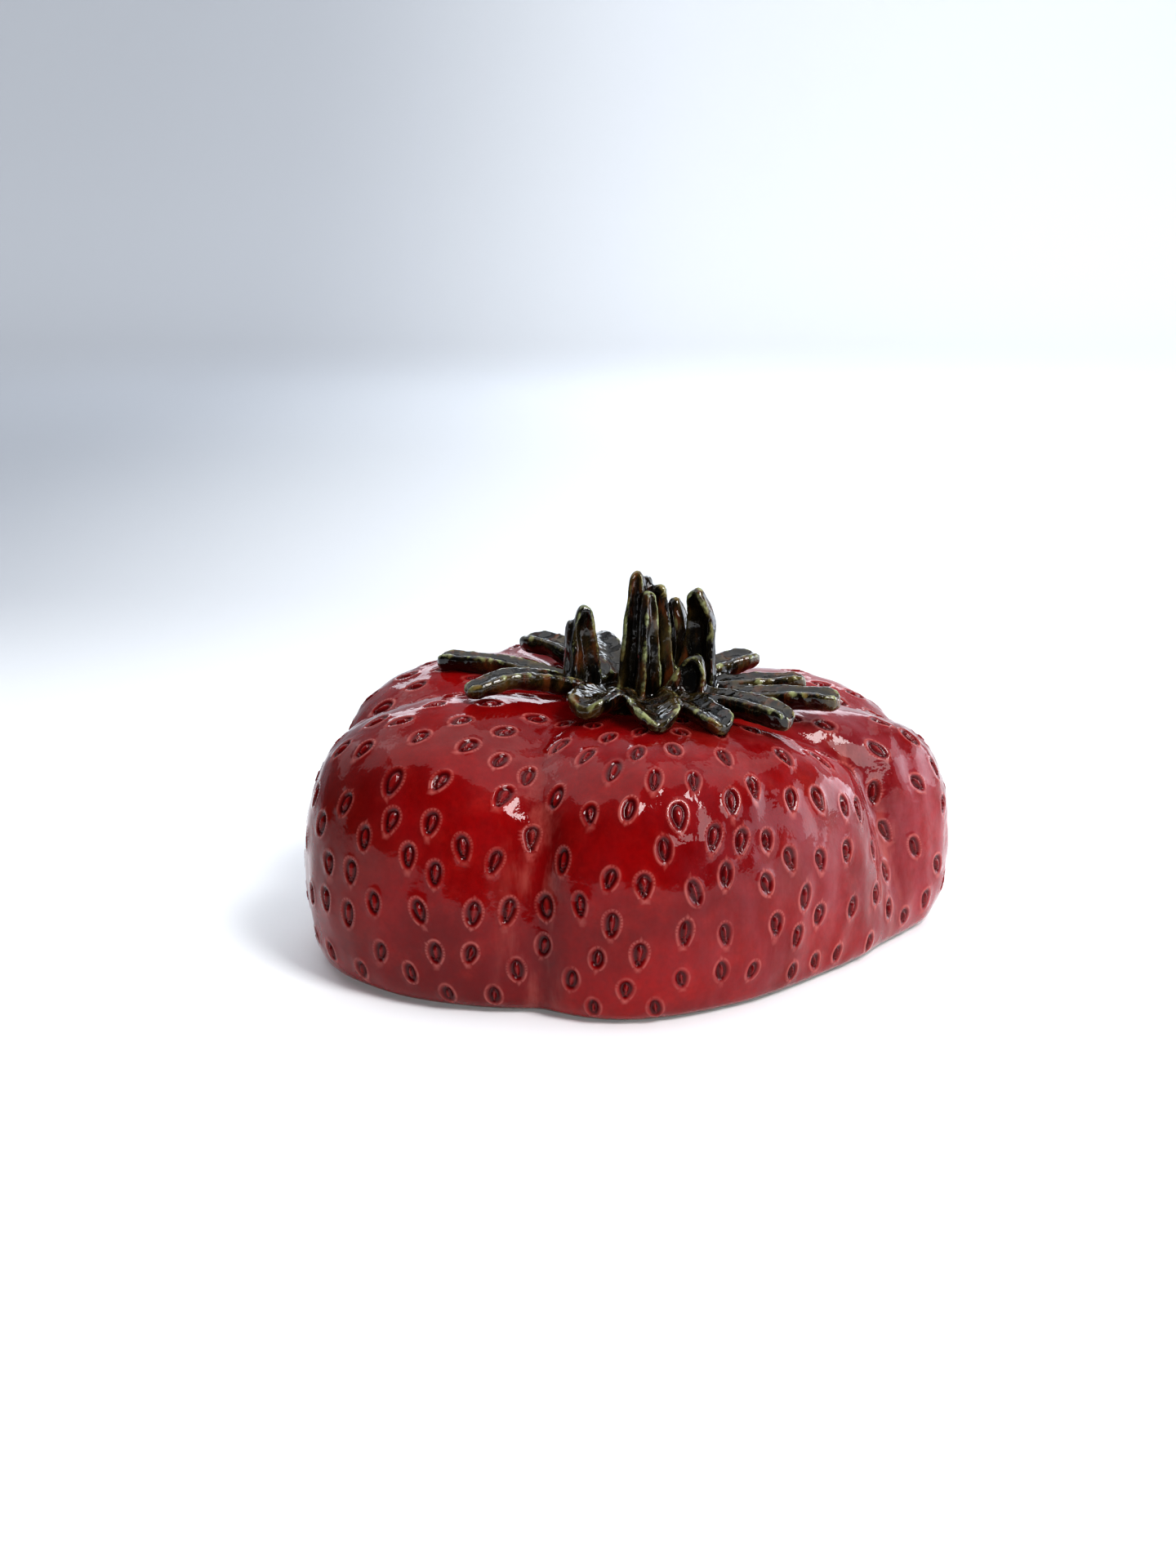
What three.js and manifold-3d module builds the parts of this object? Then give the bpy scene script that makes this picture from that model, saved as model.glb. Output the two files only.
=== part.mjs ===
// A glazed ceramic strawberry: a wide, low body pinched into lobes like a garden tomato, hollow
// inside, with a crown of hand-cut clay leaves and upright shoots luted onto its top.
// Millimetres, +Z up. The body stands on its flat foot at z = 0. -Y is the front.

import * as THREE from "three";
import { mergeVertices } from "three/addons/utils/BufferGeometryUtils.js";
import Module from "manifold-3d";

const wasm = await Module();
wasm.setup();

// ---------------------------------------------------------------- driving dimensions

const WALL = 7; // thickness of the pinched clay wall
const VENT_RADIUS = 6; // the hole in the foot that lets kiln air out
const GAP = 0.3; // clearance between two pieces that touch

// The body seen from above, counter-clockwise. heading: degrees from +X. reach: the axis to the
// widest point. height: the top of the shoulder above the foot.
const GIRTH = [
  { heading: -94, reach: 71, height: 63 },
  { heading: -68, reach: 65, height: 63 },
  { heading: -42, reach: 63, height: 63 },
  { heading: -14, reach: 71, height: 61 },
  { heading: 8, reach: 86, height: 60 },
  { heading: 26, reach: 85, height: 62 },
  { heading: 52, reach: 72, height: 65 },
  { heading: 84, reach: 68, height: 67 },
  { heading: 120, reach: 73, height: 70 },
  { heading: 150, reach: 80, height: 70 },
  { heading: 182, reach: 87, height: 67 },
  { heading: 204, reach: 89, height: 69 },
  { heading: 218, reach: 85, height: 67 },
  { heading: 233, reach: 78, height: 64 },
  { heading: 248, reach: 74, height: 63 },
];
const AXIS_HEIGHT = 64; // the height every heading comes round to at the axis

// Creases between the lobes. depth: how far each is pressed in at the shoulder. foot: the share
// of that left at the foot. swing: how far it has turned, in degrees, by the time it meets the
// axis.
const CREASES = [
  { heading: -110, depth: 7.2, foot: 0.75, swing: -50 },
  { heading: -13, depth: 6.8, foot: 0.1, swing: -25 },
  { heading: 16, depth: 5.0, foot: 0.5, swing: 0 },
  { heading: 60, depth: 6.0, foot: 0.6, swing: 0 },
  { heading: 100, depth: 6.0, foot: 0.6, swing: 0 },
  { heading: 140, depth: 5.0, foot: 0.5, swing: 0 },
  { heading: 180, depth: 6.5, foot: 0.5, swing: 10 },
];
const CREASE_ROUNDING = 1.6; // degrees at the widest point, how softly a crease's bottom turns
const CREASE_HALF_WIDTH = 34; // degrees, where a crease has died out on a broad lobe

// The body's half section: [share of the reach, share of the height].
const SECTION = [
  [0.91, 0.0],
  [0.965, 0.045],
  [0.994, 0.19],
  [1.0, 0.4],
  [0.98, 0.62],
  [0.92, 0.81],
  [0.81, 0.92],
  [0.65, 0.982],
  [0.46, 1.0],
  [0.28, 0.985],
  [0.13, 0.96],
  [0.0, 0.955],
];
const SECTION_ROWS = 24;
const COLUMN_DEGREES = 5;
const CREASE_CROWDING = 0.1; // how much closer the columns stand at a crease, 0 for evenly

// The low mound of clay the leaves and shoots are luted to: [radius, height above the foot].
const HUB_PROFILE = [
  [0, 52],
  [15, 52],
  [18.5, 59],
  [17.5, 61.6],
  [13, 63.6],
  [7, 64.8],
  [0, 65.2],
];

// Leaves lying out over the body. heading: degrees from +X. length: the axis to the tip. lift:
// the tip above the body. arch: how far the middle is bowed up. bend: how far the tip is swung
// sideways, counter-clockwise. fold: how far the strip is folded into a gutter. tip: the share
// of the width left where the end is rounded off.
const LEAVES = [
  { heading: -81, length: 37, width: 14, thickness: 4.2, lift: -0.4, fold: 0.5, tip: 0.7 },
  { heading: -59, length: 41, width: 9.5, thickness: 4.6, lift: -0.6, bend: 1, tip: 0.85 },
  { heading: -40, length: 48, width: 9, thickness: 5, lift: 2.2, bend: 2, tip: 0.95 },
  { heading: -15, length: 53, width: 9, thickness: 4.4, lift: 11, arch: -3, bend: 2, tip: 0.9 },
  { heading: 6, length: 44, width: 9, thickness: 4.6, lift: 4.5, arch: 0, bend: -2, tip: 0.6 },
  { heading: 27, length: 36, width: 10, thickness: 4.4, lift: 5, arch: 1, tip: 0.8 },
  { heading: 52, length: 35, width: 9, thickness: 4.4, lift: 4, arch: 1, bend: 3, tip: 0.6 },
  { heading: 80, length: 34, width: 9.5, thickness: 4.6, lift: 3, arch: 1, bend: -3, tip: 0.7 },
  { heading: 112, length: 31, width: 9, thickness: 4.6, lift: 1.5, arch: 1, tip: 0.7 },
  { heading: 142, length: 37, width: 9.5, thickness: 4.8, lift: 1.5, arch: 2, bend: 2, tip: 0.8 },
  { heading: 169, length: 54, width: 7, thickness: 4.4, lift: 0.2, arch: -1, bend: -2, tip: 0.9 },
  { heading: 210, length: 49, width: 8, thickness: 4.2, lift: -0.4, arch: 2.5, bend: 1, tip: 0.7 },
  { heading: 243, length: 32, width: 13, thickness: 5, lift: 1.4, arch: 1, bend: 2, tip: 0.9 },
];
const LEAF_ROOT = 11; // how far from the axis a leaf starts, inside the mound

// Upright shoots. foot and tip: the ends of its spine. open: the heading its gutter faces.
// hook: how far the tip nods that way. notch: how deep the tip is forked.
const SHOOTS = [
  { name: "shoot_left", foot: [-13.5, -5, 63], tip: [-13.8, -4, 88.5], width: 7.5, open: -70, hook: 1.5 },
  { name: "shoot_left_inner", foot: [-17, -1.5, 62], tip: [-16.6, -3, 84], width: 5, open: -60 },
  { name: "shoot_tall_left", foot: [-1.5, -1, 64.5], tip: [0.2, 0, 96.5], width: 5.5, open: -95, notch: 5 },
  { name: "shoot_tall_back", foot: [3.6, 3.5, 64.5], tip: [2.6, 2, 95], width: 5, open: 90 },
  { name: "shoot_tall_front", foot: [2.2, -5.5, 64.5], tip: [2.8, -4, 92], width: 5.5, open: -50 },
  { name: "shoot_tall_right", foot: [7.4, -0.5, 64.5], tip: [5.8, 0.5, 93], width: 5, open: 0 },
  { name: "shoot_leaning", foot: [12.5, 8, 64], tip: [10.6, 7.5, 88], width: 7.5, open: 200, hook: 1 },
  { name: "shoot_hooded", foot: [17, 2, 62.5], tip: [16.6, 2, 91.5], width: 9.5, open: 235, hook: 3 },
  { name: "shoot_short", foot: [12, -9.5, 63], tip: [15.5, -9, 76.5], width: 9.5, open: -110, hook: 1.5 },
];
const SHOOT_THICKNESS = 4.2;

// A strip's section, counter-clockwise: [share of the half width, share of the thickness].
const STRIP_SECTION = [
  [0.62, -0.5],
  [0.95, -0.22],
  [1.0, 0.2],
  [0.78, 0.46],
  [0.42, 0.34],
  [0.0, 0.26],
  [-0.42, 0.34],
  [-0.78, 0.46],
  [-1.0, 0.2],
  [-0.95, -0.22],
  [-0.62, -0.5],
  [0.0, -0.6],
];
const STRIP_ROWS = 11;
const STRIP_CROWDING = 1.5; // how much closer the rows stand towards the tip, 1 for evenly
const TIP_ROUNDING = 0.93; // how far round its end a strip is carried before it is closed, up to 1

// ---------------------------------------------------------------- small helpers

const radians = THREE.MathUtils.degToRad;
const { lerp, smoothstep } = THREE.MathUtils;

/** How far heading a lies counter-clockwise of heading b, in degrees, 0 up to 360. */
const past = (a, b) => (((a - b) % 360) + 360) % 360;

/** A closed mesh from rings of points, each ring closed on itself, with a fan at either end. */
function skin(rings, firstPoint, lastPoint) {
  const count = rings[0].length;
  const points = [firstPoint, ...rings.flat(), lastPoint];
  const at = (ring, k) => 1 + ring * count + (k % count);
  const faces = [];
  for (let k = 0; k < count; k++) {
    faces.push(0, at(0, k + 1), at(0, k));
    faces.push(points.length - 1, at(rings.length - 1, k), at(rings.length - 1, k + 1));
  }
  for (let ring = 0; ring < rings.length - 1; ring++) {
    for (let k = 0; k < count; k++) {
      faces.push(at(ring, k), at(ring, k + 1), at(ring + 1, k + 1));
      faces.push(at(ring, k), at(ring + 1, k + 1), at(ring + 1, k));
    }
  }
  const geometry = new THREE.BufferGeometry().setFromPoints(points);
  geometry.setIndex(faces);
  return geometry;
}

/** A geometry as a manifold-3d solid. */
function solid(geometry) {
  const bare = geometry.clone();
  bare.deleteAttribute("normal");
  bare.deleteAttribute("uv");
  const merged = mergeVertices(bare, 1e-4);
  return new wasm.Manifold(
    new wasm.Mesh({
      numProp: 3,
      vertProperties: merged.attributes.position.array,
      triVerts: new Uint32Array(merged.index.array),
    }),
  );
}

/** The largest body of a solid that cutting may have left in several. */
function largest(made) {
  return made.decompose().reduce((a, b) => (a.volume() > b.volume() ? a : b));
}

/** A manifold-3d solid as a three.js geometry. */
function geometryOf(made) {
  const mesh = made.getMesh();
  const geometry = new THREE.BufferGeometry();
  geometry.setAttribute("position", new THREE.BufferAttribute(mesh.vertProperties, 3));
  geometry.setIndex(new THREE.BufferAttribute(mesh.triVerts, 1));
  geometry.computeVertexNormals();
  return geometry;
}

// ---------------------------------------------------------------- the body

/** The rows of a table of headings either side of a heading, and the share of the way across. */
function between(table, heading) {
  const count = table.length;
  for (let i = 0; i < count; i++) {
    const width = past(table[(i + 1) % count].heading, table[i].heading);
    const across = past(heading, table[i].heading);
    if (across < width) return { i, width, across };
  }
  throw new Error("the headings don't go once round");
}

/** A column of GIRTH at any heading, by a smooth closed curve through the table. */
function girth(key, heading) {
  const { i, width, across } = between(GIRTH, heading);
  const row = (k) => GIRTH[(i + k + GIRTH.length) % GIRTH.length];
  const slope = (k) => {
    const span = past(row(k + 1).heading, row(k - 1).heading);
    return ((row(k + 1)[key] - row(k - 1)[key]) / span) * width;
  };
  const t = across / width;
  const start = row(0)[key] * (1 - t) ** 2 * (1 + 2 * t) + slope(0) * t * (1 - t) ** 2;
  const end = row(1)[key] * t ** 2 * (3 - 2 * t) - slope(1) * t ** 2 * (1 - t);
  return start + end;
}

/** How far the surface is pressed in at a heading and a share of the way out from the axis. */
function creaseAt(heading, outwards) {
  const here = between(CREASES, heading);
  const after = CREASES[(here.i + 1) % CREASES.length];
  const swing = lerp(CREASES[here.i].swing, after.swing, smoothstep(here.across, 0, here.width));
  const turned = heading - swing * (1 - Math.min(1, outwards)) ** 1.5;
  const { i, width, across } = between(CREASES, turned);
  const nearer = CREASES[across < width / 2 ? i : (i + 1) % CREASES.length];
  const away = Math.min(across, width - across);
  const rounding = CREASE_ROUNDING / Math.max(0.2, outwards);
  const softened = Math.hypot(away, rounding) - rounding;
  const halfWidth = Math.min(width / 2, CREASE_HALF_WIDTH);
  const share = Math.max(0, 1 - softened / halfWidth) ** 2.6;
  return { depth: nearer.depth * share, foot: nearer.foot };
}

const section = new THREE.SplineCurve(SECTION.map(([x, y]) => new THREE.Vector2(x, y)));

/** The body's surface at a heading, a share of the way along the section from foot to top. */
function bodyPoint(heading, along, inset = 0) {
  const p = section.getPoint(along);
  const t = section.getTangent(along);
  const fromAxis = smoothstep(p.x, 0, 0.6);
  const reach = girth("reach", heading);
  const height = lerp(AXIS_HEIGHT, girth("height", heading), fromAxis);
  const { depth, foot } = creaseAt(heading, p.x);
  const level = 1 - smoothstep(p.y, 0, 0.2);
  const normal = new THREE.Vector2(t.y * height, -t.x * reach).normalize();
  normal.lerp(new THREE.Vector2(1, 0), level).normalize();
  const pressed = depth * lerp(foot, 1, smoothstep(p.y, 0, 0.6)) * smoothstep(p.x, 0.1, 0.95);
  const press = pressed + inset;
  const radius = Math.max(0, p.x * reach - normal.x * press);
  const z = along === 0 ? inset : Math.max(inset, p.y * height - normal.y * press);
  const a = radians(heading);
  return new THREE.Vector3(radius * Math.cos(a), radius * Math.sin(a), z);
}

/** Headings of the body's columns: one on each crease, and closer together near it. */
function columnHeadings(step) {
  return CREASES.flatMap(({ heading }) => {
    const { width } = between(CREASES, heading);
    const steps = Math.round(width / step);
    return Array.from({ length: steps }, (_, k) => {
      const t = k / steps;
      return heading + width * (t - CREASE_CROWDING * Math.sin(2 * Math.PI * t));
    });
  });
}

/** The body's closed skin, pressed in by inset all over. */
function bodySkin(columnStep, rowCount, inset = 0) {
  const headings = columnHeadings(columnStep);
  const rings = [];
  for (let row = 0; row < rowCount; row++) {
    rings.push(headings.map((heading) => bodyPoint(heading, row / rowCount, inset)));
  }
  const top = bodyPoint(0, 1, inset);
  return skin(rings, new THREE.Vector3(0, 0, inset), new THREE.Vector3(0, 0, top.z));
}

/** The height of the body's top surface at a heading and a distance from the axis. */
function topHeight(heading, radius) {
  let [low, high] = [0.45, 1];
  for (let i = 0; i < 24; i++) {
    const middle = (low + high) / 2;
    const point = bodyPoint(heading, middle);
    if (Math.hypot(point.x, point.y) > radius) low = middle;
    else high = middle;
  }
  return bodyPoint(heading, low).z;
}

const vent = new THREE.CylinderGeometry(VENT_RADIUS, VENT_RADIUS, WALL * 4, 32);
vent.rotateX(Math.PI / 2);

const hollow = solid(bodySkin(COLUMN_DEGREES * 2, SECTION_ROWS / 2, WALL));
const fruit = solid(bodySkin(COLUMN_DEGREES, SECTION_ROWS)).subtract(hollow).subtract(solid(vent));
const fruitGrown = solid(bodySkin(COLUMN_DEGREES, SECTION_ROWS, -GAP));

// ---------------------------------------------------------------- the mound of clay

/** The mound, grown outwards and upwards by a distance. */
function mound(grow = 0) {
  const profile = HUB_PROFILE.map(
    ([radius, z]) => new THREE.Vector2(radius === 0 ? 0 : radius + grow, z + grow),
  );
  return solid(new THREE.LatheGeometry(profile, 36).rotateX(Math.PI / 2));
}

const hub = largest(mound().subtract(fruitGrown));

// ---------------------------------------------------------------- leaves and shoots

/** A closed outline pushed out by a distance along its corners' normals. */
function pushedOut(outline, distance) {
  return outline.map((point, i) => {
    const before = outline[(i + outline.length - 1) % outline.length];
    const after = outline[(i + 1) % outline.length];
    const along = after.clone().sub(before).normalize();
    return new THREE.Vector2(point.x + along.y * distance, point.y - along.x * distance);
  });
}

/** A strip of clay slab swept along a spine, its gutter open towards facing. */
function strip(piece, grow = 0) {
  const { spine, facing, width, thickness, fold = 0.3, tip = 0.6, root = 1, notch = 0 } = piece;
  const curve = new THREE.CatmullRomCurve3(spine.map((p) => new THREE.Vector3(...p)));
  const roundFrom = 1 - (width * tip) / 2 / curve.getLength();
  const rings = [];
  const centres = [];
  for (let row = 0; row <= STRIP_ROWS; row++) {
    const u = 1 - (1 - row / STRIP_ROWS) ** STRIP_CROWDING;
    const tangent = curve.getTangentAt(u);
    const side = new THREE.Vector3().crossVectors(facing, tangent).normalize();
    const up = new THREE.Vector3().crossVectors(tangent, side);
    const turn = Math.max(0, (u - roundFrom) / (1 - roundFrom)) * TIP_ROUNDING;
    const rounded = Math.sqrt(1 - turn ** 2);
    const drawn = lerp(root, 1, smoothstep(u, 0, 0.5)) * lerp(1, tip, u ** 3);
    const half = (width / 2) * drawn * rounded;
    const deep = thickness * lerp(1, Math.sqrt(tip), u ** 3) * Math.sqrt(rounded);
    const outline = STRIP_SECTION.map(
      ([x, y]) => new THREE.Vector2(x * half, y * deep + fold * half * x * x),
    );
    const overrun = row === 0 ? -grow : row === STRIP_ROWS ? grow : 0;
    const centre = curve.getPointAt(u).addScaledVector(tangent, overrun);
    rings.push(
      pushedOut(outline, grow).map((p) =>
        centre.clone().addScaledVector(side, p.x).addScaledVector(up, p.y),
      ),
    );
    centres.push(centre);
  }
  const forked = centres.at(-1).addScaledVector(curve.getTangentAt(1), -notch);
  return solid(skin(rings, centres[0], forked));
}

/** A leaf's strip: it follows the body out from the mound, then lifts to its tip. */
function leafStrip(leaf) {
  const { heading, length, thickness, lift, arch = 0, bend = 0 } = leaf;
  const a = radians(heading);
  const spine = [0, 0.33, 0.67, 1].map((u) => {
    const radius = lerp(LEAF_ROOT, length, u);
    const sideways = bend * u * u;
    const rest = topHeight(heading, radius) + thickness * 0.6 + GAP;
    const z = rest + lift * u ** 1.5 + arch * Math.sin(Math.PI * u);
    return [
      radius * Math.cos(a) - sideways * Math.sin(a),
      radius * Math.sin(a) + sideways * Math.cos(a),
      z,
    ];
  });
  return { ...leaf, spine, facing: new THREE.Vector3(0, 0, 1), root: 0.9 };
}

/** A shoot's strip: nearly upright, folded, wide at the foot and drawn in to a nodding tip. */
function shootStrip({ foot, tip, width, open, hook = 0, notch = 0 }) {
  const facing = new THREE.Vector3(Math.cos(radians(open)), Math.sin(radians(open)), 0);
  const spine = [0, 0.35, 0.75, 1].map((u) => {
    const nod = hook * (u === 1 ? 1 : -0.6 * u);
    return foot.map((value, k) => lerp(value, tip[k], u) + facing.getComponent(k) * nod);
  });
  return {
    spine,
    facing,
    width,
    notch,
    thickness: SHOOT_THICKNESS,
    fold: 0.5,
    tip: 0.45,
    root: 1.25,
  };
}

const strips = [
  ...LEAVES.map((leaf, i) => ({ name: `leaf_${i + 1}`, ...leafStrip(leaf) })),
  ...SHOOTS.map((shoot) => ({ name: shoot.name, ...shootStrip(shoot) })),
];

// ---------------------------------------------------------------- the assembly

const glaze = {
  red: { color: 0x8e1414, roughness: 0.12, metalness: 0 },
  olive: { color: 0x2b2413, roughness: 0.15, metalness: 0 },
};

const strawberry = new THREE.Group();
strawberry.name = "strawberry";

/** Adds a solid to the strawberry as a named mesh. */
function add(name, made, look) {
  const mesh = new THREE.Mesh(geometryOf(made), new THREE.MeshStandardMaterial(look));
  mesh.name = name;
  strawberry.add(mesh);
}

add("fruit_body", fruit, glaze.red);
add("calyx_hub", hub, glaze.olive);

let taken = fruitGrown.add(mound(GAP));
for (const one of strips) {
  add(one.name, largest(strip(one).subtract(taken)), glaze.olive);
  taken = taken.add(strip(one, GAP));
}

// The row's origin is the middle of the foot's side of the box round the whole strawberry.
const middle = new THREE.Box3().setFromObject(strawberry).getCenter(new THREE.Vector3());
for (const mesh of strawberry.children) mesh.geometry.translate(-middle.x, -middle.y, 0);

export default strawberry;
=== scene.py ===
# Looks for the glazed ceramic strawberry. The row's frame in metres: -Y is the front, +Z is up.
# 1. The body's outer and inner skins are read back from its CAD node as smooth sheets.
# 2. The outer skin is triangulated on a flat map, with each seed pressed in as geometry.
# 3. The calyx's CAD nodes are fused into one glazed crown.
# 4. Materials, studio and camera.

import math

import bmesh
import bpy
import numpy as np
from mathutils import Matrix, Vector, noise
from mathutils.geometry import delaunay_2d_cdt
from mathutils.kdtree import KDTree


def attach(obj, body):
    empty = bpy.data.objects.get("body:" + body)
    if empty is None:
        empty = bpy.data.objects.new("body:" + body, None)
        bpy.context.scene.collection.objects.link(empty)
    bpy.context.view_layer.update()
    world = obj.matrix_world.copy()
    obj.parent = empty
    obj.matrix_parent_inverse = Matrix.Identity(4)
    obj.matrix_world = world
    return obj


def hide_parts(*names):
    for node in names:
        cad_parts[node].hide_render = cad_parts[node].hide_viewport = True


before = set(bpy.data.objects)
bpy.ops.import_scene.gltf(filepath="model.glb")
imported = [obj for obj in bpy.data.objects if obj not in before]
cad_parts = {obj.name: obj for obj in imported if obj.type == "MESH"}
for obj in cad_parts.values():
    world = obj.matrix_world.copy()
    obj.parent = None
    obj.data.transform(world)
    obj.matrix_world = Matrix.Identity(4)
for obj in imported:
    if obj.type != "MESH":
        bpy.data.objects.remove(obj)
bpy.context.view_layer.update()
MM = 0.001

# ---------------------------------------------------------------- driving dimensions

BODY = "fruit_body"
CALYX = sorted(set(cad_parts) - {BODY})

HEADINGS = 720  # columns of the smooth sheet
STEPS_PER_ROW = 16  # steps of the smooth sheet for each row of the CAD grid
FOOT_COLUMNS = 320  # points round the foot, the vent and the inner skin
GRID_SPACING = 1.25 * MM  # between the outer skin's points away from seeds
GRID_CLEARANCE = 0.75 * MM  # from those points to a seed's own points

SEED_HALF_LENGTH = 2.32 * MM  # to the middle of the pressed groove
SEED_HALF_WIDTH = 1.02 * MM
SEED_APART_ALONG = 9.5 * MM  # least distance between seeds along a meridian
SEED_APART_ACROSS = 7.6 * MM
SEED_TRIES = 9000
SEED_NEAREST_CALYX = 25 * MM  # from the axis
SEED_LOWEST = 4.5 * MM
SEED_SIZE_SPREAD = 0.07  # standard deviation, as a share of the size
SEED_LENGTH_SPREAD = 0.05
SEED_WIDTH_SPREAD = 0.09
SEED_LEAN = 0.16  # standard deviation, radians
SEED_MOST_TAPER = 0.65  # powers that seed_outline takes
SEED_MOST_ALMOND = 1.3
SEED_SIZE_BY_CROWN = 0.72  # as a share of the usual size
SEED_SIZE_BY_FOOT = 0.74
CROWN_SEEDS_FROM = 50 * MM  # height above which seeds shrink towards the crown
CROWN_SEEDS_GROW = [22 * MM, 48 * MM]  # from the axis, to the usual size
FOOT_SEEDS_GROW = [5 * MM, 20 * MM]  # up from the floor, to the usual size
SEED_RINGS = [-0.55, -0.25, 0.05, 0.35, 0.65, 0.95, 1.3, 1.75]  # mm out from the groove's middle
SEED_RING_POINTS = 24
KERNEL_RINGS = [0.6, 0.25]  # shares of the innermost ring

GROOVE_DEPTH = 0.52 * MM
GROOVE_HALF_WIDTH = 0.42  # mm
RIM_HEIGHT = 0.2 * MM
RIM_OUT = 1.25  # mm out from the groove's middle
RIM_HALF_WIDTH = 0.4  # mm
KERNEL_HEIGHT = 0.38 * MM
KERNEL_START = 0.25  # mm in from the groove's middle
KERNEL_RISE = 0.6  # mm, across which it reaches its height
GROOVE_STAIN = 0.6  # mm, half the width of the dark glaze in the groove
RIM_WEAR = 0.26  # mm, half the width of the pale line on the rim
FOOT_FADE = 6 * MM  # height at which the hand-made unevenness is full

CREASE_BLUR = 7  # degrees, how wide a hollow counts as a crease
CREASE_FULL_DEPTH = 1.3 * MM  # hollow depth at which the creases' darkening and drips are full
CREASE_SHARPENING = 0.5  # how much deeper a finger has drawn it, as a share of its depth
CREASE_FADE = 60 * MM  # height at which the sharpening is full

VENT_RADIUS = 6 * MM
VENT_EDGE = 1.2 * MM  # how far the vent's lip is rounded
FOOT_RINGS = 10
INNER_RINGS = 16

CALYX_SWELL = 0.26 * MM  # closes the gaps between the calyx's solids
CALYX_VOXEL = 0.5 * MM
CALYX_SMOOTHINGS = 5

rng = np.random.default_rng(7)

# ---------------------------------------------------------------- reading the CAD body back


def welded(node):
    """A CAD node's points and triangles, with the points at one place made one."""
    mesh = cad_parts[node].data
    mesh.calc_loop_triangles()
    points = np.array([v.co for v in mesh.vertices])
    triangles = np.array([t.vertices for t in mesh.loop_triangles])
    keys = np.round(points / (0.001 * MM)).astype(np.int64)
    _, first, same = np.unique(keys, axis=0, return_index=True, return_inverse=True)
    return points[first], same.reshape(-1)[triangles]


def rings_round(pole, points, neighbours):
    """The rings of points round a pole, each one edge further out, sorted by heading. Sorting
    starts between two columns, so that a column is never split by the start."""

    def headings(ring):
        offset = points[ring] - points[pole]
        return np.arctan2(offset[:, 1], offset[:, 0])

    seen = {pole}
    ring = sorted(neighbours[pole])
    start = np.sort(headings(ring))[:2].mean()
    rings = []
    while not rings or len(ring) == len(rings[0]):
        order = np.argsort((headings(ring) - start) % (2 * math.pi))
        rings.append(np.array(ring)[order])
        seen.update(ring)
        ring = sorted({n for k in ring for n in neighbours[k]} - seen)
    return rings


def hermite(before, start, end, after, spans, t):
    """A cubic through start and end, its slopes taken from the points either side."""
    slope_start = (end - before) / (spans[0] + spans[1]) * spans[1]
    slope_end = (after - start) / (spans[1] + spans[2]) * spans[1]
    return (
        start * (1 + 2 * t) * (1 - t) ** 2
        + slope_start * t * (1 - t) ** 2
        + end * (3 - 2 * t) * t**2
        - slope_end * (1 - t) * t**2
    )


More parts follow.
